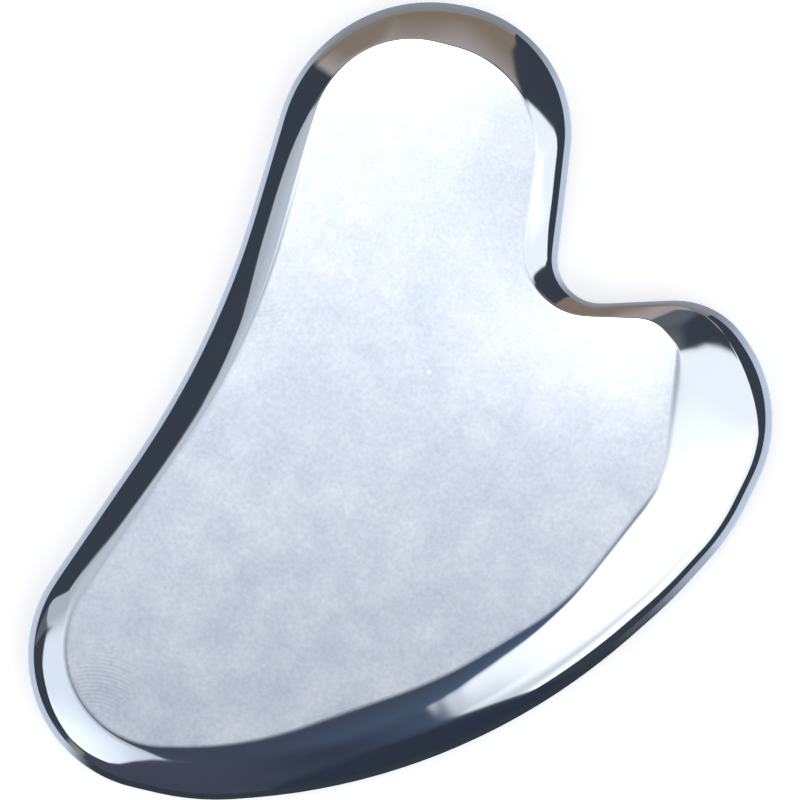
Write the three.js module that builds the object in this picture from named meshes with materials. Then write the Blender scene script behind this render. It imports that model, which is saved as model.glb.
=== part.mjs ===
// Gua sha scraper: one solid stainless-steel plate in the outline of a leaning heart.
// Lengths are in millimetres. +Y runs along the plate to its neck, +X to its broad lobe, and +Z is up.
// The plate lies on z = 0, with the origin under the middle of its bounding box.
// Both flat faces are alike. Round each one a bevel slopes down to a rounded edge at mid-thickness.

import * as THREE from 'three';

const THICKNESS = 6;
const EDGE_ROUND = 2.4; // the edge's radius where the bevel is wide, and less where it is narrow
const DEGREES_PER_SIDE = 5; // round stretches of the outline
const STRAIGHT_SIDE = 3; // straight stretches of the outline
const ROUND_SIDES = 5; // from the bevel to the middle of the edge
const STEEL_COLOUR = 0xcdd5de;

const HALF = THICKNESS / 2;

// The rim is the plate's outline, and the face is the outline of its flat faces. Each one is a belt
// that runs anticlockwise round eleven circles, and circle by circle the two belts go together.
// A circle is its centre x, its centre y and its radius, which is negative in a hollow.
const CIRCLES = [
  { place: 'right of crown', rim: [-13.6, 29.3, 12.8], face: [-13.7, 26.5, 11.2] },
  { place: 'left of crown', rim: [-13.6, 26.7, 15.3], face: [-15.9, 27.7, 9.6] },
  { place: 'waist', rim: [-111.5, 0.3, -85.6], face: [-89.1, 2.1, -67] },
  { place: 'tip', rim: [-15.9, -28.8, 13.3], face: [-15.8, -27.8, 9.9] },
  { place: 'right of tip', rim: [-16.6, -15.3, 26.6], face: [-25.4, -3.7, 35.8] },
  { place: 'belly', rim: [-34.4, 17.4, 63.8], face: [-25.4, 10.1, 45.5] },
  { place: 'flank', rim: [-21.4, 14.8, 50.8], face: [-4, 2.1, 23.2] },
  { place: 'lobe', rim: [7.2, 9.7, 21.9], face: [10.9, 8, 9.8] },
  { place: 'shoulder', rim: [15.8, 12.5, 13.3], face: [16, 19.9, 0.8] },
  { place: 'left of shoulder', rim: [17.7, 17.4, 8.1], face: [13.1, 18.2, 3.6] },
  { place: 'notch', rim: [5.9, 25, -4.2], face: [4.7, 25.1, -6.1] },
];

// The direction of the straight stretch that touches both circles.
function heading([x, y, radius], [nextX, nextY, nextRadius]) {
  const distance = Math.hypot(nextX - x, nextY - y);
  const direction = Math.atan2(nextY - y, nextX - x);
  return direction - Math.asin((nextRadius - radius) / distance);
}

function arcBetween([x, y, radius], arriving, leaving) {
  const toContact = radius > 0 ? -Math.PI / 2 : Math.PI / 2;
  return new THREE.ArcCurve(
    x,
    y,
    Math.abs(radius),
    arriving + toContact,
    leaving + toContact,
    radius < 0,
  );
}

// One stretch for each circle: the arc on it, and then the straight to the next circle's arc.
function beltStretches(circles) {
  const headings = circles.map((circle, i) => heading(circle, circles[(i + 1) % circles.length]));
  const arcs = circles.map((circle, i) => arcBetween(circle, headings.at(i - 1), headings[i]));
  return arcs.map((arc, i) => {
    const nextArc = arcs[(i + 1) % arcs.length];
    const stretch = new THREE.CurvePath();
    stretch.add(arc);
    stretch.add(new THREE.LineCurve(arc.getPoint(1), nextArc.getPoint(0)));
    return stretch;
  });
}

function sidesNeeded(stretch) {
  const [arc, straight] = stretch.curves;
  const degrees = THREE.MathUtils.radToDeg(arc.getLength() / arc.xRadius);
  return degrees / DEGREES_PER_SIDE + straight.getLength() / STRAIGHT_SIDE;
}

function pointsAlong(stretch, sides) {
  return Array.from({ length: sides }, (_, i) => stretch.getPoint(i / sides));
}

// Pairs of points, one on the rim and one on the edge of the face, in order round the plate.
function stations() {
  const rimStretches = beltStretches(CIRCLES.map((circle) => circle.rim));
  const faceStretches = beltStretches(CIRCLES.map((circle) => circle.face));
  return rimStretches.flatMap((rimStretch, i) => {
    const faceStretch = faceStretches[i];
    const sides = Math.ceil(Math.max(sidesNeeded(rimStretch), sidesNeeded(faceStretch)));
    const facePoints = pointsAlong(faceStretch, sides);
    return pointsAlong(rimStretch, sides).map((rim, j) => ({ rim, face: facePoints[j] }));
  });
}

// Half of the section through the edge, from the face down to mid-thickness: a flat bevel, and then
// a round that it runs into smoothly. "out" is measured from the edge of the face.
function halfSection(width) {
  const radius = EDGE_ROUND * Math.tanh(width / EDGE_ROUND);
  const centre = width - radius;
  const slope = Math.atan2(HALF, centre) - Math.asin(radius / Math.hypot(centre, HALF));
  const section = [{ out: 0, up: HALF }];
  for (let i = 0; i <= ROUND_SIDES; i += 1) {
    const angle = (Math.PI / 2 - slope) * (1 - i / ROUND_SIDES);
    section.push({ out: centre + radius * Math.cos(angle), up: radius * Math.sin(angle) });
  }
  return section;
}

function fullSection(width) {
  const upper = halfSection(width);
  const lower = upper.slice(0, -1).reverse();
  return [...upper, ...lower.map(({ out, up }) => ({ out, up: -up }))];
}

function stationVertices({ rim, face }) {
  const width = rim.distanceTo(face);
  return fullSection(width).map(({ out, up }) => {
    const point = face.clone().lerp(rim, out / width);
    return new THREE.Vector3(point.x, point.y, up);
  });
}

// Two triangles for each quadrilateral between a station's section and the next one's.
function edgeTriangles(stationCount, sectionLength) {
  const triangles = [];
  for (let i = 0; i < stationCount; i += 1) {
    const next = (i + 1) % stationCount;
    for (let j = 0; j + 1 < sectionLength; j += 1) {
      const here = i * sectionLength + j;
      const there = next * sectionLength + j;
      triangles.push(here, here + 1, there);
      triangles.push(there, here + 1, there + 1);
    }
  }
  return triangles;
}

function faceTriangles(facePoints, sectionLength) {
  const bottom = sectionLength - 1;
  return THREE.ShapeUtils.triangulateShape(facePoints, []).flatMap(([a, b, c]) => [
    ...[a, b, c].map((i) => i * sectionLength),
    ...[c, b, a].map((i) => i * sectionLength + bottom),
  ]);
}

function plateGeometry() {
  const pairs = stations();
  const sections = pairs.map(stationVertices);
  const sectionLength = sections[0].length;
  const geometry = new THREE.BufferGeometry().setFromPoints(sections.flat());
  geometry.setIndex([
    ...edgeTriangles(pairs.length, sectionLength),
    ...faceTriangles(pairs.map(({ face }) => face), sectionLength),
  ]);
  geometry.center();
  geometry.translate(0, 0, HALF);
  geometry.computeVertexNormals();
  return geometry;
}

function polishedSteel() {
  return new THREE.MeshStandardMaterial({ color: STEEL_COLOUR, roughness: 0.2, metalness: 1 });
}

const plate = new THREE.Mesh(plateGeometry(), polishedSteel());
plate.name = 'scraper_plate';

const scraper = new THREE.Group();
scraper.add(plate);

export default scraper;
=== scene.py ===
"""The gua sha scraper's looks: one ground and polished steel plate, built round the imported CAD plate.

Lengths are in metres. The plate's own frame has +Y towards its neck and +X towards its broad lobe.
The studio's frame is turned by STUDIO_TURN about +Z, so that the picture's up is the studio's +Y.
"""

import math

import bpy
import numpy as np
from mathutils import Matrix, Vector
from mathutils.geometry import delaunay_2d_cdt


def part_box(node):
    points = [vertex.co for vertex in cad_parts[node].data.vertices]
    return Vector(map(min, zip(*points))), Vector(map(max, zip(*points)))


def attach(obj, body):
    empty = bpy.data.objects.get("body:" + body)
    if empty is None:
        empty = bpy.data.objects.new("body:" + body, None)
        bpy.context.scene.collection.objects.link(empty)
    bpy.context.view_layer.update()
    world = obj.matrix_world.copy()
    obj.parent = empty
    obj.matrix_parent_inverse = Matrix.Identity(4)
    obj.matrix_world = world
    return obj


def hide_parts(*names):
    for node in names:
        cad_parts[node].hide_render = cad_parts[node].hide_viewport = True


MM = 0.001
NODE = "scraper_plate"
STUDIO_TURN = math.radians(26)

# The plate's mesh
STATIONS = 960  # round the plate
CAD_DIGITS = 7  # decimals of a metre to which corners of the CAD mesh are one point
LEVEL_TOLERANCE = 0.01 * MM
MIDDLE = (-4 * MM, -6 * MM)
PILLOW = 0.05  # share of the thickness that is lost at PILLOW_REACH from the middle
PILLOW_REACH = 40 * MM
WORN_PLACE = (6 * MM, 27 * MM)  # in the notch, so that the faces dip towards it
WEAR = 0.2  # share of the thickness that is lost at the worn place
WEAR_REACH = 11 * MM
BAND = 2.4 * MM  # the strip of the flat face that is meshed in rings, inside the bevel
BAND_RINGS = 8
CREASE_RINGS = 10
BEVEL_RINGS = 6
ROUND_RINGS = 14
FACE_GRID = 1.2 * MM
LOOP_SMOOTHING = 0.4 * MM
PAIR_SMOOTHING = 9  # stations
VALUE_SMOOTHING = 6  # stations
UNEVEN_SPREAD = 2.5  # stations
UNEVENNESS = 0.012  # share by which the crease's outer softening varies
UNEVEN_SEED = 3
STEEPEST_BEVEL = 3.0
SLOPE_HALVINGS = 40
SATIN_REACH = 0.6 * MM  # inside the crease, from polished to fully satin

# The section through the ground edge, place by place round the rim, in millimetres.
# Place: a point near the rim. Inner and outer: how far the crease between face and bevel is
# softened on either side. Long and tall: the half axes of the rounding that ends at the rim.
# Camber: how much steeper the bevel is at its outer end than at its inner end.
EDGE_PLACES = [
    # name, place, inner, outer, long, tall, camber
    ("shoulder, by the notch", (13.5, 24.5), 0.1, 0.1, 0.5, 2.4, 0.10),
    ("shoulder", (19.5, 25.5), 0.2, 0.2, 1.6, 2.3, 0.10),
    ("shoulder, by the lobe", (25.0, 22.5), 0.8, 0.4, 3.0, 2.4, 0.08),
    ("lobe", (28.0, 17.5), 1.6, 0.4, 2.6, 2.5, 0.0),
    ("upper flank", (29.0, 12.0), 1.6, 0.4, 2.6, 2.5, 0.0),
    ("flank", (27.5, 0.0), 1.4, 0.4, 2.8, 2.5, 0.0),
    ("lower flank", (23.0, -11.0), 0.6, 0.4, 3.4, 2.55, 0.0),
    ("belly", (16.5, -21.5), 0.3, 1.6, 3.8, 2.55, 0.0),
    ("lower belly", (8.0, -30.0), 0.3, 2.8, 3.8, 2.55, 0.0),
    ("bottom", (-1.5, -37.5), 0.3, 2.9, 3.4, 2.4, 0.0),
    ("bottom, by the tip", (-7.0, -40.0), 0.3, 1.2, 3.0, 2.4, 0.0),
    ("below the tip", (-12.5, -41.5), 0.2, 0.6, 2.8, 2.45, 0.12),
    ("tip, bottom", (-18.5, -41.5), 0.2, 0.1, 2.6, 2.45, 0.12),
    ("tip", (-24.0, -39.0), 0.2, 0.1, 2.5, 2.5, 0.05),
    ("left of the tip", (-29.0, -29.0), 0.2, 0.2, 2.45, 2.45, 0.05),
    ("above the tip", (-28.5, -24.5), 0.2, 1.9, 2.3, 2.35, 0.10),
    ("lower waist", (-27.5, -18.5), 0.1, 0.8, 2.2, 2.2, 0.0),
    ("waist", (-26.5, -11.0), 0.1, 0.6, 2.1, 2.1, 0.0),
    ("mid waist", (-25.5, 0.5), 0.1, 0.7, 2.1, 2.1, 0.0),
    ("high waist", (-25.5, 6.5), 0.1, 1.1, 2.1, 2.1, 0.0),
    ("upper waist", (-26.5, 12.5), 0.1, 2.6, 2.1, 2.1, 0.0),
    ("below the neck", (-27.0, 17.0), 0.1, 2.8, 2.1, 2.1, 0.0),
    ("neck, left", (-28.0, 21.5), 0.1, 2.1, 2.1, 2.1, 0.0),
    ("neck, by the crown", (-28.5, 26.0), 0.1, 0.5, 2.1, 2.1, 0.0),
    ("crown, left", (-28.0, 30.5), 0.1, 0.2, 2.1, 2.1, 0.0),
    ("crown", (-21.0, 40.0), 0.1, 0.1, 2.0, 2.0, 0.08),
    ("crown, right", (-9.5, 41.0), 0.1, 0.1, 2.0, 2.0, 0.08),
    ("crown, by the neck", (-4.5, 38.0), 0.1, 0.1, 2.3, 2.3, 0.15),
    ("neck, right", (-1.5, 33.0), 0.8, 0.3, 2.8, 2.6, 0.10),
    ("neck, by the notch", (0.5, 27.0), 0.8, 0.3, 2.4, 2.5, 0.10),
    ("notch", (3.0, 22.0), 0.1, 0.1, 0.8, 2.3, 0.10),
    ("notch, by the shoulder", (8.5, 21.5), 0.1, 0.1, 0.35, 2.5, 0.10),
]

# Marks on the upper face: arcs round a centre, seen near a middle; and small bright spots, painted
# glints where the face has nicks.
FINGER_MARKS = [
    # centre, middle, radius, spacing, strength
    ((-0.0178, -0.0398, 0.006), (-0.0197, -0.0333, 0.006), 0.0042, 0.00038, 0.11),
    ((-0.0250, 0.0120, 0.006), (-0.0208, 0.0062, 0.006), 0.0024, 0.00040, 0.06),
]
# Painted glints: small near-white spots where the face has nicks.
PAINTED_NICK_GLINTS = [
    # centre, radius
    ((-0.0042, 0.0079, 0.006), 0.00019),
    ((-0.0012, 0.0130, 0.006), 0.00017),
    ((-0.0023, 0.0276, 0.006), 0.00016),
]

# The steel
POLISHED_COLOUR = (0.61, 0.65, 0.70, 1)
STAINED_COLOUR = (0.675, 0.727, 0.805, 1)
SATIN_COLOUR = (0.715, 0.737, 0.795, 1)
# Near-white: the colour of the painted glints at nicks, brighter than the steel itself.
NICK_GLINT_COLOUR = (0.93, 0.94, 0.96, 1)
POLISHED_ROUGHNESS = 0.05
SATIN_ROUGHNESS = 0.29
STAINS_PER_METRE = 260
GRAINS_PER_METRE = 2600
STAIN_SHADE = 0.28  # change of brightness over the stains' full range
GRAIN_SHADE = 0.3  # change of brightness over the grain's full range
STAIN_ROUGHNESS = 0.05  # change of roughness over the stains' full range

# The studio that the steel mirrors. A direction is told by where it meets a ceiling one unit up, u to
# the right and v ahead of straight above, or by its bearing, as across to the right and ahead.
# A patch of the panel has an edge and a blur along u and along v, and the light that it adds. It lies
# past its edge, or before it where the blur is negative.
LEFT_PATCHES = [
    # name, along u, along v, light
    ("left", (-0.5, -0.2), (0.08, -0.1), 0.4),
    ("near left", (-0.3, -0.15), (-0.4, -0.15), 0.38),
    ("far left", (-0.7, -0.35), (0.15, 0.08), -0.12),
]
RIGHT_PATCHES = [
    # name, along u, along v, light
    ("near right", (0.9, -0.2), (-0.02, -0.05), 0.4),
    ("nearest right", (0.45, -0.15), (-0.38, -0.2), -0.75),
]
EDGE_BLUR = 0.02  # half the width over which a long edge fades
BLUISH_LIGHT = (0.96, 1.0, 1.08)
WHITER_LIGHT = (1.03, 1.05, 1.07)
WINDOW_LIGHT = 3.5
CARD_HEAD = ((0.075, 0.09, 0.13, 1), (0.10, 0.145, 0.23, 1))  # its left and right
CARD_BODY = ((0.08, 0.09, 0.125, 1), (0.04, 0.052, 0.08, 1))  # its left and right
SHELF_EDGE = (0.55, 0.47, 0.44, 1)
DEEP_SHELF = (0.33, 0.25, 0.185, 1)
FARTHEST_SHELF = (0.38, 0.35, 0.32, 1)
WALL = (0.058, 0.07, 0.09, 1)
GREY_WALL = (0.14, 0.17, 0.22, 1)
DOORWAY = (0.17, 0.18, 0.19, 1)
CORNER_GAP = (0.34, 0.34, 0.22, 1)
PALE_GROUND = (0.78, 0.86, 1.0, 1)
FAR_GROUND = (0.36, 0.39, 0.44, 1)
NEAR_GROUND = (0.05, 0.062, 0.075, 1)

FLOOR_SIZE = 3.0
SENSOR_WIDTH = 36  # mm, as Blender counts lenses
CAMERA_DISTANCE = 0.4
CAMERA_LEAN = math.radians(4)  # from straight above, towards the studio's +X
FRAME_WIDTH = 77.9 * MM
FRAME_CENTRE = (-5.57 * MM, 4.22 * MM)


# ---------------------------------------------------------------- the plate's loops, from the CAD


def welded(node):
    """The CAD node's points, each once, and its triangles as rows of point numbers."""
    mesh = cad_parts[node].data
    corners = np.round([v.co for v in mesh.vertices], CAD_DIGITS)
    points, numbers = np.unique(corners, axis=0, return_inverse=True)
    triangles = numbers.ravel()[[list(p.vertices) for p in mesh.polygons]]
    return points, triangles


def level_edges(triangles, at_level):
    """Each edge with both ends at a level, and how many triangles have it and lie in that level."""
    flat_uses = {}
    for triangle in triangles:
        lies_flat = at_level[triangle].all()
        for a, b in zip(triangle, np.roll(triangle, -1)):
            if at_level[a] and at_level[b]:
                edge = (min(a, b), max(a, b))
                flat_uses[edge] = flat_uses.get(edge, 0) + lies_flat
    return flat_uses


def chained(edges):
    """The point numbers of the closed loop that the edges make, in order."""
    neighbours = {}
    for a, b in edges:
        neighbours.setdefault(a, []).append(b)
        neighbours.setdefault(b, []).append(a)
    start, step = edges[0]
    loop = [start]
    while step != start:
        before, after = neighbours[step]
        step_on = after if before == loop[-1] else before
        loop.append(step)
        step = step_on
    return loop


def anticlockwise(loop):
    x, y = loop.T
    area = np.sum(x * np.roll(y, -1) - y * np.roll(x, -1))
    return loop if area > 0 else loop[::-1]


def cad_loops():
    """The plate's rim and the edge of its upper face, in plan."""
    points, triangles = welded(NODE)
    low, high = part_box(NODE)
    loops = []
    for level, uses in (((low.z + high.z) / 2, 0), (high.z, 1)):
        edges = level_edges(triangles, np.abs(points[:, 2] - level) < LEVEL_TOLERANCE)
        numbers = chained([edge for edge, count in edges.items() if count == uses])
        loops.append(anticlockwise(points[numbers, :2]))
    return loops


# ---------------------------------------------------------------- smooth loops


def smoothed(values, spread):
    """Values round a loop, smoothed over a spread of stations."""
    frequency = np.fft.rfftfreq(len(values))
    keep = np.exp(-2 * (math.pi * frequency * spread) ** 2)
    keep = keep.reshape(-1, *[1] * (values.ndim - 1))
    return np.fft.irfft(np.fft.rfft(values, axis=0) * keep, len(values), axis=0)


def curved(loop, pieces=6):
    """The loop with a cubic curve through its points in place of its straight sides."""
    side = np.roll(loop, -1, axis=0) - loop
    length = np.linalg.norm(side, axis=1)[:, None]
    side_before, length_before = np.roll(side, 1, axis=0), np.roll(length, 1, axis=0)
    heading = side_before / length_before * length + side / length * length_before
    heading /= length + length_before
    leaving, arriving = heading * length, np.roll(heading, -1, axis=0) * length
    q = np.linspace(0, 1, pieces, endpoint=False)[None, :, None]
    bend = q * (1 - q) * (leaving[:, None] * (1 - q) - arriving[:, None] * q)
    straight = loop[:, None] + side[:, None] * q * q * (3 - 2 * q)
    return (straight + bend).reshape(-1, 2)


def evenly_spaced(loop):
    """STATIONS points evenly spaced round the loop, smoothed."""
    fine = curved(loop)
    closed = np.vstack([fine, fine[:1]])
    lengths = np.concatenate([[0], np.cumsum(np.linalg.norm(np.diff(closed, axis=0), axis=1))])
    wanted = np.arange(STATIONS) * lengths[-1] / STATIONS
    even = np.column_stack([np.interp(wanted, lengths, closed[:, k]) for k in (0, 1)])
    return smoothed(even, LOOP_SMOOTHING * STATIONS / lengths[-1])


def fine_loops():
    """The rim and the face's edge as smooth loops, each face point facing its rim point."""
    rim, face = (evenly_spaced(loop) for loop in cad_loops())
    gaps = np.linalg.norm(rim[:, None] - face[None], axis=2)
    nearest = np.unwrap(np.argmin(gaps, axis=1), period=STATIONS)
    steady = np.arange(STATIONS)
    nearest = steady + smoothed(nearest - steady, PAIR_SMOOTHING)
    paired = [np.interp(nearest, steady, face[:, k], period=STATIONS) for k in (0, 1)]
    return rim, np.column_stack(paired)


def edge_values(rim):
    """Arrays of inner, outer, long, tall and camber, with a value for each station."""
    places = np.array([row[1] for row in EDGE_PLACES]) * MM
    values = np.array([row[2:] for row in EDGE_PLACES])
    nearest = [np.argmin(np.linalg.norm(rim - place, axis=1)) for place in places]
    order = np.argsort(nearest)
    at = np.array(nearest)[order]
    columns = values[order].T * np.array([MM, MM, MM, MM, 1])[:, None]
    spread_out = [np.interp(np.arange(STATIONS), at, column, period=STATIONS) for column in columns]
    inner, outer, long, tall, camber = (smoothed(column, VALUE_SMOOTHING) for column in spread_out)
    random = np.random.default_rng(UNEVEN_SEED)
    uneven = smoothed(random.standard_normal(STATIONS), UNEVEN_SPREAD)
    return inner, outer * (1 + UNEVENNESS * uneven / uneven.std()), long, tall, camber


# ---------------------------------------------------------------- the section through the edge


def bevel_slopes(half, width, inner, outer, long, tall, camber):
    """The bevel's slope at its inner end that brings it down onto the rounding, by bisection."""
    low, high = np.zeros(len(width)), np.full(len(width), STEEPEST_BEVEL)
    for _ in range(SLOPE_HALVINGS):
        slope = (low + high) / 2
        turn = np.arctan((slope + camber) * long / tall)
        run = width - long + long * np.sin(turn) - outer
        drop = slope * (inner + outer) / 2 + (slope + camber / 2) * run
        short = half - drop > tall * np.cos(turn)
        low, high = np.where(short, slope, low), np.where(short, high, slope)
    return slope, turn, run


def sections(half, width, inner, outer, long, tall, camber):
    """(rings, stations) distances out from the crease and heights over mid-thickness."""
    slope, turn, run = bevel_slopes(half, width, inner, outer, long, tall, camber)
    out, up = [], []
    for q in np.linspace(0, 1, BAND_RINGS, endpoint=False):
        out.append(-BAND + q * (BAND - inner))
        up.append(np.full(len(width), half))
    for q in np.linspace(0, 1, CREASE_RINGS, endpoint=False):
        out.append(-inner + q * (inner + outer))
        up.append(half - slope * (inner + outer) * q**2 / 2)
    bevel_top = half - slope * (inner + outer) / 2
    for q in np.linspace(0, 1, BEVEL_RINGS, endpoint=False):
        out.append(outer + q * run)
        up.append(bevel_top - (slope + camber * q / 2) * q * run)
    for q in np.linspace(0, 1, ROUND_RINGS + 1):
        angle = turn + q * (math.pi / 2 - turn)
        out.append(width - long + long * np.sin(angle))
        up.append(tall * np.cos(angle))
    return np.array(out), np.array(up)


# ---------------------------------------------------------------- the plate's mesh


def inside_points(loop):
    """A triangular grid of points inside a loop, clear of it."""
    low, high = loop.min(axis=0), loop.max(axis=0)
    rows = np.arange(low[1], high[1], FACE_GRID * math.sqrt(3) / 2)
    grid = [
        (x + (k % 2) * FACE_GRID / 2, y)
        for k, y in enumerate(rows)
        for x in np.arange(low[0], high[0], FACE_GRID)
    ]
    kept = []
    nexts = np.roll(loop, -1, axis=0)
    for x, y in grid:
        crosses = (loop[:, 1] > y) != (nexts[:, 1] > y)
        slope = (nexts[:, 0] - loop[:, 0]) / np.where(crosses, nexts[:, 1] - loop[:, 1], 1)
        at = loop[:, 0] + (y - loop[:, 1]) * slope
        inside = np.count_nonzero(crosses & (x < at)) % 2 == 1
        if inside and np.hypot(loop[:, 0] - x, loop[:, 1] - y).min() > 0.6 * FACE_GRID:
            kept.append((x, y))
    return kept


def face_fill(loop):
    """New points inside the loop, and triangles that number the loop's points first."""
    count = len(loop)
    extra = inside_points(loop)
    flat = [Vector(p) for p in [*loop.tolist(), *extra]]
    edges = [(i, (i + 1) % count) for i in range(count)]
    inside_only, tolerance = 1, 1e-9
    points, _, faces, origins, _, _ = delaunay_2d_cdt(flat, edges, [], inside_only, tolerance)
    number = {i: origin[0] for i, origin in enumerate(origins)}
    return np.array(extra), [[number[i] for i in face] for face in faces]


def plate_arrays():
    """The plate's points, faces, and how satin each point is, from 0 to 1."""
    low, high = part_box(NODE)
    half = (high.z - low.z) / 2
    rim, face = fine_loops()
    across = rim - face
    width = np.linalg.norm(across, axis=1)
    outward = across / width[:, None]
    out, up = sections(half, width, *edge_values(rim))
    upper = [np.column_stack([face + outward * o[:, None], u]) for o, u in zip(out, up)]
    lower = [ring * (1, 1, -1) for ring in reversed(upper[:-1])]
    rings = upper + lower
    fill_points, fill_faces = face_fill(rings[0][:, :2])
    top_fill = np.column_stack([fill_points, np.full(len(fill_points), half)])
    points = np.vstack([*rings, top_fill, top_fill * (1, 1, -1)])
    points[:, 2] *= thinning(points)
    points[:, 2] += low.z + half
    faces = ring_faces(len(rings)) + cap_faces(fill_faces, len(rings), len(top_fill))
    return points, faces, satin_shares(out, 2 * len(top_fill))


def satin_shares(out, fill_count):
    """How satin each point is: 1 on the flat faces, down to 0 from the crease with the bevel."""
    share = np.clip(-out / SATIN_REACH, 0, 1)
    share = share * share * (3 - 2 * share)
    return np.concatenate([*share, *share[-2::-1], np.ones(fill_count)])


def thinning(points):
    """How thick the plate is at each point, as a share: a little less towards its ends and notch."""
    from_middle = np.linalg.norm(points[:, :2] - np.array(MIDDLE), axis=1)
    from_notch = np.linalg.norm(points[:, :2] - np.array(WORN_PLACE), axis=1)
    worn = WEAR * np.exp(-((from_notch / WEAR_REACH) ** 2))
    return 1 - PILLOW * (from_middle / PILLOW_REACH) ** 2 - worn


def ring_faces(count):
    faces = []
    for ring in range(count - 1):
        for i in range(STATIONS):
            j = (i + 1) % STATIONS
            here, below = ring * STATIONS, (ring + 1) * STATIONS
            faces.append((here + i, below + i, below + j, here + j))
    return faces


def cap_faces(fill_faces, ring_count, fill_count):
    """Both flat faces: the fill's triangles on top, and the same ones turned over underneath."""
    first_fill = ring_count * STATIONS

    def numbered(face, first_ring, first_extra):
        return [first_ring + i if i < STATIONS else first_extra + i - STATIONS for i in face]

    top = [numbered(face, 0, first_fill) for face in fill_faces]
    last_ring = (ring_count - 1) * STATIONS
    bottom = [numbered(face, last_ring, first_fill + fill_count)[::-1] for face in fill_faces]
    return top + bottom


def build_plate():
    points, faces, satin = plate_arrays()
    mesh = bpy.data.meshes.new("plate")
    mesh.from_pydata(points.tolist(), [], [tuple(int(i) for i in face) for face in faces])
    mesh.attributes.new("satin", "FLOAT", "POINT").data.foreach_set("value", satin.astype(np.float32))
    mesh.polygons.foreach_set("use_smooth", [True] * len(mesh.polygons))
    mesh.update()
    plate = bpy.data.objects.new("steel_plate", mesh)
    bpy.context.scene.collection.objects.link(plate)
    return plate


# ---------------------------------------------------------------- materials


class Nodes:
    """A node tree with its arithmetic written as calls."""

    def __init__(self, tree):
        self.tree = tree

    def add(self, kind, **settings):
        node = self.tree.nodes.new(kind)
        for name, value in settings.items():
            setattr(node, name, value)
        return node

    def feed(self, socket, value):
        if isinstance(value, bpy.types.NodeSocket):
            self.tree.links.new(value, socket)
        else:
            socket.default_value = value

    def math(self, operation, *values):
        node = self.add("ShaderNodeMath", operation=operation)
        for socket, value in zip(node.inputs, values):
            self.feed(socket, value)
        return node.outputs[0]

    def step(self, value, edge, blur):
        """A smooth step from 0 to 1 about an edge. With a negative blur it steps down."""
        node = self.add("ShaderNodeMapRange", interpolation_type="SMOOTHSTEP")
        for name, given in (("Value", value), ("From Min", edge - blur), ("From Max", edge + blur)):
            self.feed(node.inputs[name], given)
        return node.outputs["Result"]

    def past(self, value, edge, blur):
        """A smooth step about an edge that is itself a node's value."""
        return self.step(self.math("SUBTRACT", value, edge), 0, blur)

    def line(self, value, slope, start):
        """A straight line's height over a value."""
        return self.math("MULTIPLY_ADD", value, slope, start)

    def about(self, value, slope, start, centre=0.5):
        """A straight line's height over a value, counted from a centre."""
        return self.line(self.math("SUBTRACT", value, centre), slope, start)

    def larger(self, a, b):
        return self.math("MAXIMUM", a, b)

    def smaller(self, a, b):
        return self.math("MINIMUM", a, b)

    def between(self, factor, a, b):
        """The number that a factor picks between a, at 0, and b, at 1."""
        return self.math("MULTIPLY_ADD", factor, self.math("SUBTRACT", b, a), a)

    def product(self, first, *others):
        for other in others:
            first = self.math("MULTIPLY", first, other)
        return first

    def scaled(self, colour, factor):
        node = self.add("ShaderNodeVectorMath", operation="SCALE")
        node.inputs[0].default_value = colour
        self.feed(node.inputs["Scale"], factor)
        return node.outputs[0]

    def colour_product(self, a, b):
        node = self.add("ShaderNodeVectorMath", operation="MULTIPLY")
        self.feed(node.inputs[0], a)
        self.feed(node.inputs[1], b)
        return node.outputs[0]

    def mix(self, factor, a, b):
        node = self.add("ShaderNodeMix", data_type="RGBA")
        for socket, value in zip((node.inputs[0], node.inputs[6], node.inputs[7]), (factor, a, b)):
            self.feed(socket, value)
        return node.outputs[2]

    def noise(self, place, scale, detail):
        node = self.add("ShaderNodeTexNoise")
        self.feed(node.inputs["Vector"], place)
        node.inputs["Scale"].default_value = scale
        node.inputs["Detail"].default_value = detail
        return node.outputs["Fac"]

    def distance(self, place, point):
        node = self.add("ShaderNodeVectorMath", operation="DISTANCE")
        self.feed(node.inputs[0], place)
        node.inputs[1].default_value = point
        return node.outputs["Value"]

    def near(self, place, point, radius):
        """1 close to a point, fading out about a radius."""
        return self.step(self.distance(place, point), edge=radius, blur=-0.4 * radius)

    def finger_mark(self, place, centre, middle, radius, spacing):
        """Fine arcs round a centre, fading out towards a radius from the mark's middle."""
        away = self.math("MULTIPLY", self.distance(place, centre), 2 * math.pi / spacing)
        ridges = self.line(self.math("SINE", away), slope=0.5, start=0.5)
        fading = self.step(self.distance(place, middle), edge=0.7 * radius, blur=-0.3 * radius)
        return self.product(ridges, fading)


def satin_shade(n, place, stains, grain):
    """How bright the satin faces are, place by place: fine grain, faint stains and finger marks."""
    shade = n.about(grain, slope=GRAIN_SHADE, start=1.0)
    shade = n.about(stains, slope=STAIN_SHADE, start=shade)
    for *mark, strength in FINGER_MARKS:
        shade = n.line(n.finger_mark(place, *mark), -strength, shade)
    return shade


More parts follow.
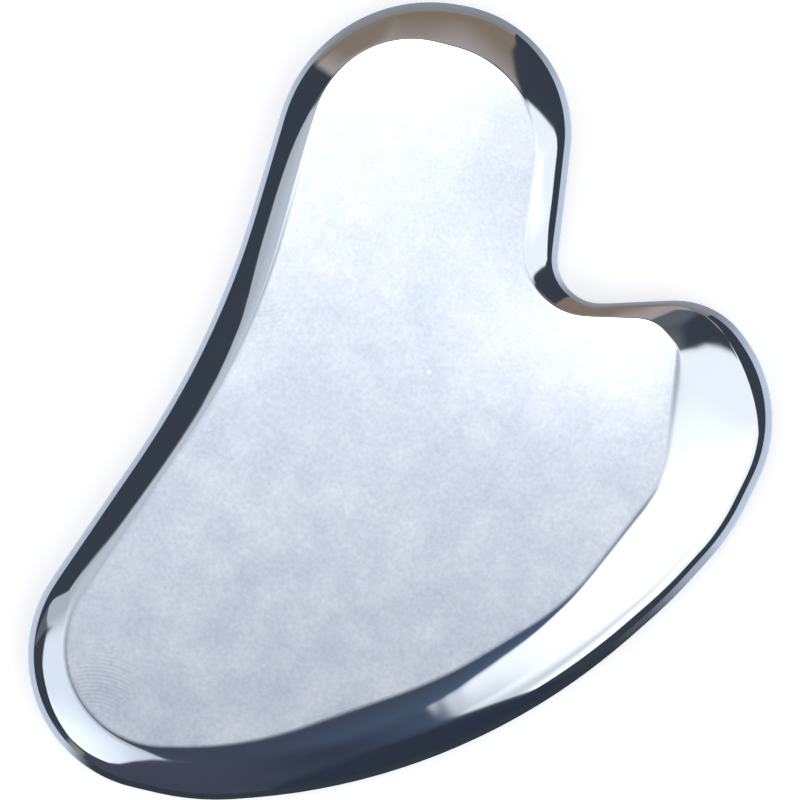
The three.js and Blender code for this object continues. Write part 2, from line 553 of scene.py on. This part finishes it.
def steel_material():
    """Bright steel, polished on the bevel, and satin with faint stains and marks on the faces, and small
    painted glints at nicks.
    """
    material = bpy.data.materials.new("ground_steel")
    material.use_nodes = True
    n = Nodes(material.node_tree)
    shader = material.node_tree.nodes["Principled BSDF"]
    shader.inputs["Metallic"].default_value = 1.0
    satin = n.add("ShaderNodeAttribute", attribute_name="satin").outputs["Fac"]
    place = n.add("ShaderNodeTexCoord").outputs["Object"]
    stains = n.noise(place, STAINS_PER_METRE, detail=4)
    grain = n.noise(place, GRAINS_PER_METRE, detail=1)
    satin_colour = n.mix(n.step(stains, edge=0.5, blur=0.25), STAINED_COLOUR, SATIN_COLOUR)
    shade = n.scaled((1, 1, 1), satin_shade(n, place, stains, grain))
    shade = n.mix(satin, (1, 1, 1, 1), shade)
    colour = n.colour_product(n.mix(satin, POLISHED_COLOUR, satin_colour), shade)
    # Small near-white spots: painted glints where the face has nicks, not a colour of the steel.
    for spot, radius in PAINTED_NICK_GLINTS:
        colour = n.mix(n.near(place, spot, radius), colour, NICK_GLINT_COLOUR)
    n.feed(shader.inputs["Base Color"], colour)
    satin_roughness = n.about(stains, slope=STAIN_ROUGHNESS, start=SATIN_ROUGHNESS)
    n.feed(shader.inputs["Roughness"], n.between(satin, POLISHED_ROUGHNESS, satin_roughness))
    return material


def floor_material():
    material = bpy.data.materials.new("pale_floor")
    material.use_nodes = True
    shader = material.node_tree.nodes["Principled BSDF"]
    shader.inputs["Base Color"].default_value = (0.9, 0.9, 0.91, 1)
    shader.inputs["Roughness"].default_value = 0.9
    shader.inputs["Specular IOR Level"].default_value = 0.1
    shader.inputs["Emission Color"].default_value = (1, 1, 1, 1)
    shader.inputs["Emission Strength"].default_value = 0.52
    return material


# ---------------------------------------------------------------- the studio


def studio_point(x, y, z):
    return Matrix.Rotation(STUDIO_TURN, 3, "Z") @ Vector((x, y, z))


def build_floor():
    mesh = bpy.data.meshes.new("floor")
    half = FLOOR_SIZE / 2
    corners = [(-half, -half, 0), (half, -half, 0), (half, half, 0), (-half, half, 0)]
    mesh.from_pydata(corners, [], [(0, 1, 2, 3)])
    mesh.materials.append(floor_material())
    floor = bpy.data.objects.new("floor", mesh)
    bpy.context.scene.collection.objects.link(floor)
    floor.visible_glossy = False


def panel_left(n, v):
    """The panel's left edge: straight in the middle, and slanting outwards at both ends."""
    near_end = n.smaller(n.math("ADD", v, 0.3), 0)
    far_end = n.larger(n.math("SUBTRACT", v, 0.1), 0)
    left = n.line(near_end, slope=0.4, start=-0.97)
    return n.line(far_end, slope=-1.55, start=left)


def panel_far(n, u):
    """The panel's far edge: slanting on the left, and an eave and a gable on the right."""
    slant = n.line(u, slope=-0.42, start=0.05)
    on_left = n.smaller(n.larger(slant, 0.29), 0.5)
    eave = n.smaller(n.line(u, slope=1.08, start=-0.05), n.line(u, slope=0.28, start=0.14))
    gable = n.line(u, slope=-0.5, start=0.625)
    on_right = n.between(n.step(u, edge=0.5, blur=0.01), eave, gable)
    return n.between(n.step(u, edge=0.12, blur=0.01), on_left, on_right)


def panel_mask(n, u, v):
    """The pale panel overhead."""
    near = n.line(n.larger(u, 0), slope=-0.2, start=-1.1)
    return n.product(
        n.past(u, panel_left(n, v), EDGE_BLUR),
        n.step(u, edge=1.55, blur=-0.03),
        n.past(v, near, EDGE_BLUR),
        n.past(panel_far(n, u), v, EDGE_BLUR),
    )


def patched(n, light, patches, u, v):
    """A light with patches added to it."""
    for _, along_u, along_v, strength in patches:
        light = n.line(n.product(n.step(u, *along_u), n.step(v, *along_v)), strength, light)
    return light


def panel_colour(n, u, v):
    """The panel's light: bluish on the left, whiter and brighter on the right, and a bright window."""
    right = n.step(u, edge=0.1, blur=0.02)
    light = n.line(n.step(u, edge=-0.15, blur=0.1), slope=-0.1, start=0.8)
    light = n.math("MULTIPLY_ADD", right, patched(n, 0.62, RIGHT_PATCHES, u, v), light)
    light = patched(n, light, LEFT_PATCHES, u, v)
    window_side = n.product(n.step(u, edge=-0.22, blur=0.06), n.step(u, edge=0.05, blur=-0.04))
    window = n.product(window_side, n.step(v, edge=0.1, blur=0.04))
    light = n.line(window, WINDOW_LIGHT, light)
    whiter = n.larger(right, window)
    return n.mix(whiter, n.scaled(BLUISH_LIGHT, light), n.scaled(WHITER_LIGHT, light))


def card_mask(n, u, v):
    """A dark card that reaches in from the near side, with a narrow head and sloping shoulders."""
    right_shoulder = n.line(v, slope=-0.65, start=-0.18)
    right_side = n.larger(right_shoulder, n.line(v, slope=0.1, start=0.115))
    left_side = n.step(u, edge=-0.21, blur=0.012)
    left_shoulder = n.past(v, n.line(u, slope=0.5, start=-0.61), blur=-0.015)
    return n.product(
        n.past(u, right_side, blur=-0.008),
        n.larger(left_side, left_shoulder),
        n.step(v, edge=-0.07, blur=-0.015),
    )


def card_colour(n, u, v):
    right = n.step(u, edge=0.0, blur=0.1)
    return n.mix(n.step(v, edge=-0.45, blur=-0.15), n.mix(right, *CARD_HEAD), n.mix(right, *CARD_BODY))


def shelf_mask(n, across, u, v):
    """A shelf along the room's far side, with an end that comes nearer on the right."""
    right = n.larger(n.line(v, slope=0.63, start=0), 0.485)
    end = n.product(n.step(u, edge=0.36, blur=0.02), n.step(v, edge=0.4, blur=0.03))
    return n.product(
        n.past(u, right, -EDGE_BLUR),
        n.step(across, edge=-0.76, blur=0.02),
        n.larger(n.step(v, edge=0.62, blur=0.05), end),
    )


def shelf_colour(n, u, v):
    """Brown, darker further in and greyer at its far end."""
    depth = n.math("ADD", v, n.line(n.larger(u, -0.4), slope=0.95, start=-1.05))
    brown = n.mix(n.step(depth, edge=0.02, blur=0.17), SHELF_EDGE, DEEP_SHELF)
    return n.mix(n.step(v, edge=2, blur=0.5), brown, FARTHEST_SHELF)


def wall_colour(n, across, ahead, u, v):
    """Dark, with a grey stretch ahead and a paler doorway just beyond the panel's left half."""
    grey = n.product(n.step(across, edge=0.42, blur=-0.05), n.step(across, edge=-0.3, blur=0.05))
    grey = n.product(grey, n.step(ahead, edge=0.55, blur=0.03))
    doorway_height = n.product(n.step(u, edge=0.165, blur=-0.02), n.step(v, edge=0.52, blur=-0.05))
    doorway = n.product(doorway_height, n.step(v, edge=0.1, blur=0.02))
    return n.mix(doorway, n.mix(grey, WALL, GREY_WALL), DOORWAY)


def ground_colour(n, ahead):
    """Below the horizon: pale at the sides, greyer ahead and dark on the near side."""
    ground = n.mix(n.step(ahead, edge=0.6, blur=0.3), PALE_GROUND, FAR_GROUND)
    return n.mix(n.step(ahead, edge=-0.72, blur=-0.1), ground, NEAR_GROUND)


def corner_gap(n, across, ahead, z):
    """A narrow lit gap in the corner that is near and to the left, from the horizon up to z 0.42."""
    towards_corner = n.math("MULTIPLY", n.math("ADD", across, ahead), -math.sqrt(0.5))
    return n.product(
        n.step(towards_corner, edge=0.9975, blur=0.002),
        n.step(z, edge=0.42, blur=-0.05),
    )


def studio_direction(n):
    """The direction's three parts in the studio's own frame."""
    coordinates = n.add("ShaderNodeTexCoord")
    turn = n.add("ShaderNodeVectorRotate", rotation_type="Z_AXIS", invert=True)
    turn.inputs["Angle"].default_value = STUDIO_TURN
    n.feed(turn.inputs["Vector"], coordinates.outputs["Generated"])
    split = n.add("ShaderNodeSeparateXYZ")
    n.feed(split.inputs[0], turn.outputs[0])
    return split.outputs


def ceiling_place(n, x, y, z, least_rise=0.02):
    """Where a direction meets the ceiling: u and v."""
    up = n.larger(z, least_rise)
    return n.math("DIVIDE", x, up), n.math("DIVIDE", y, up)


def bearing(n, x, y, least_length=0.001):
    """The level part of a direction, made one long: across and ahead."""
    squares = n.math("ADD", n.math("MULTIPLY", x, x), n.math("MULTIPLY", y, y))
    length = n.larger(n.math("SQRT", squares), least_length)
    return n.math("DIVIDE", x, length), n.math("DIVIDE", y, length)


def build_world():
    world = bpy.data.worlds.new("studio")
    bpy.context.scene.world = world
    world.use_nodes = True
    n = Nodes(world.node_tree)
    x, y, z = studio_direction(n)
    u, v = ceiling_place(n, x, y, z)
    across, ahead = bearing(n, x, y)
    room = n.mix(shelf_mask(n, across, u, v), wall_colour(n, across, ahead, u, v), shelf_colour(n, u, v))
    colour = n.mix(panel_mask(n, u, v), room, panel_colour(n, u, v))
    colour = n.mix(card_mask(n, u, v), colour, card_colour(n, u, v))
    colour = n.mix(corner_gap(n, across, ahead, z), colour, CORNER_GAP)
    below = n.step(z, edge=-0.01, blur=-0.02)
    colour = n.mix(below, colour, ground_colour(n, ahead))
    n.feed(world.node_tree.nodes["Background"].inputs["Color"], colour)


def build_camera():
    data = bpy.data.cameras.new("camera")
    data.sensor_width = SENSOR_WIDTH
    data.lens = SENSOR_WIDTH * CAMERA_DISTANCE / FRAME_WIDTH
    camera = bpy.data.objects.new("camera", data)
    bpy.context.scene.collection.objects.link(camera)
    _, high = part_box(NODE)
    target = Vector((*FRAME_CENTRE, high.z))
    away = studio_point(math.sin(CAMERA_LEAN), 0, math.cos(CAMERA_LEAN))
    right = studio_point(math.cos(CAMERA_LEAN), 0, -math.sin(CAMERA_LEAN))
    up = away.cross(right)
    turned = Matrix((right, up, away)).transposed().to_4x4()
    camera.matrix_world = Matrix.Translation(target + away * CAMERA_DISTANCE) @ turned
    bpy.context.scene.camera = camera


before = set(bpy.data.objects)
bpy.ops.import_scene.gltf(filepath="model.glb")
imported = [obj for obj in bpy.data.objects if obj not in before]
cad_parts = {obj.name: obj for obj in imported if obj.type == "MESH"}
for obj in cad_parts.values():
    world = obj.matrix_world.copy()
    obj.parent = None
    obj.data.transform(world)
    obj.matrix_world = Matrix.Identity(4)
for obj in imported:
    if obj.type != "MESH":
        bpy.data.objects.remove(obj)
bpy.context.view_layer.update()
build_camera()
build_world()
build_floor()
bpy.context.scene.view_settings.view_transform = "Standard"

plate = build_plate()
plate.data.materials.append(steel_material())
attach(plate, "root")
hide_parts(NODE)
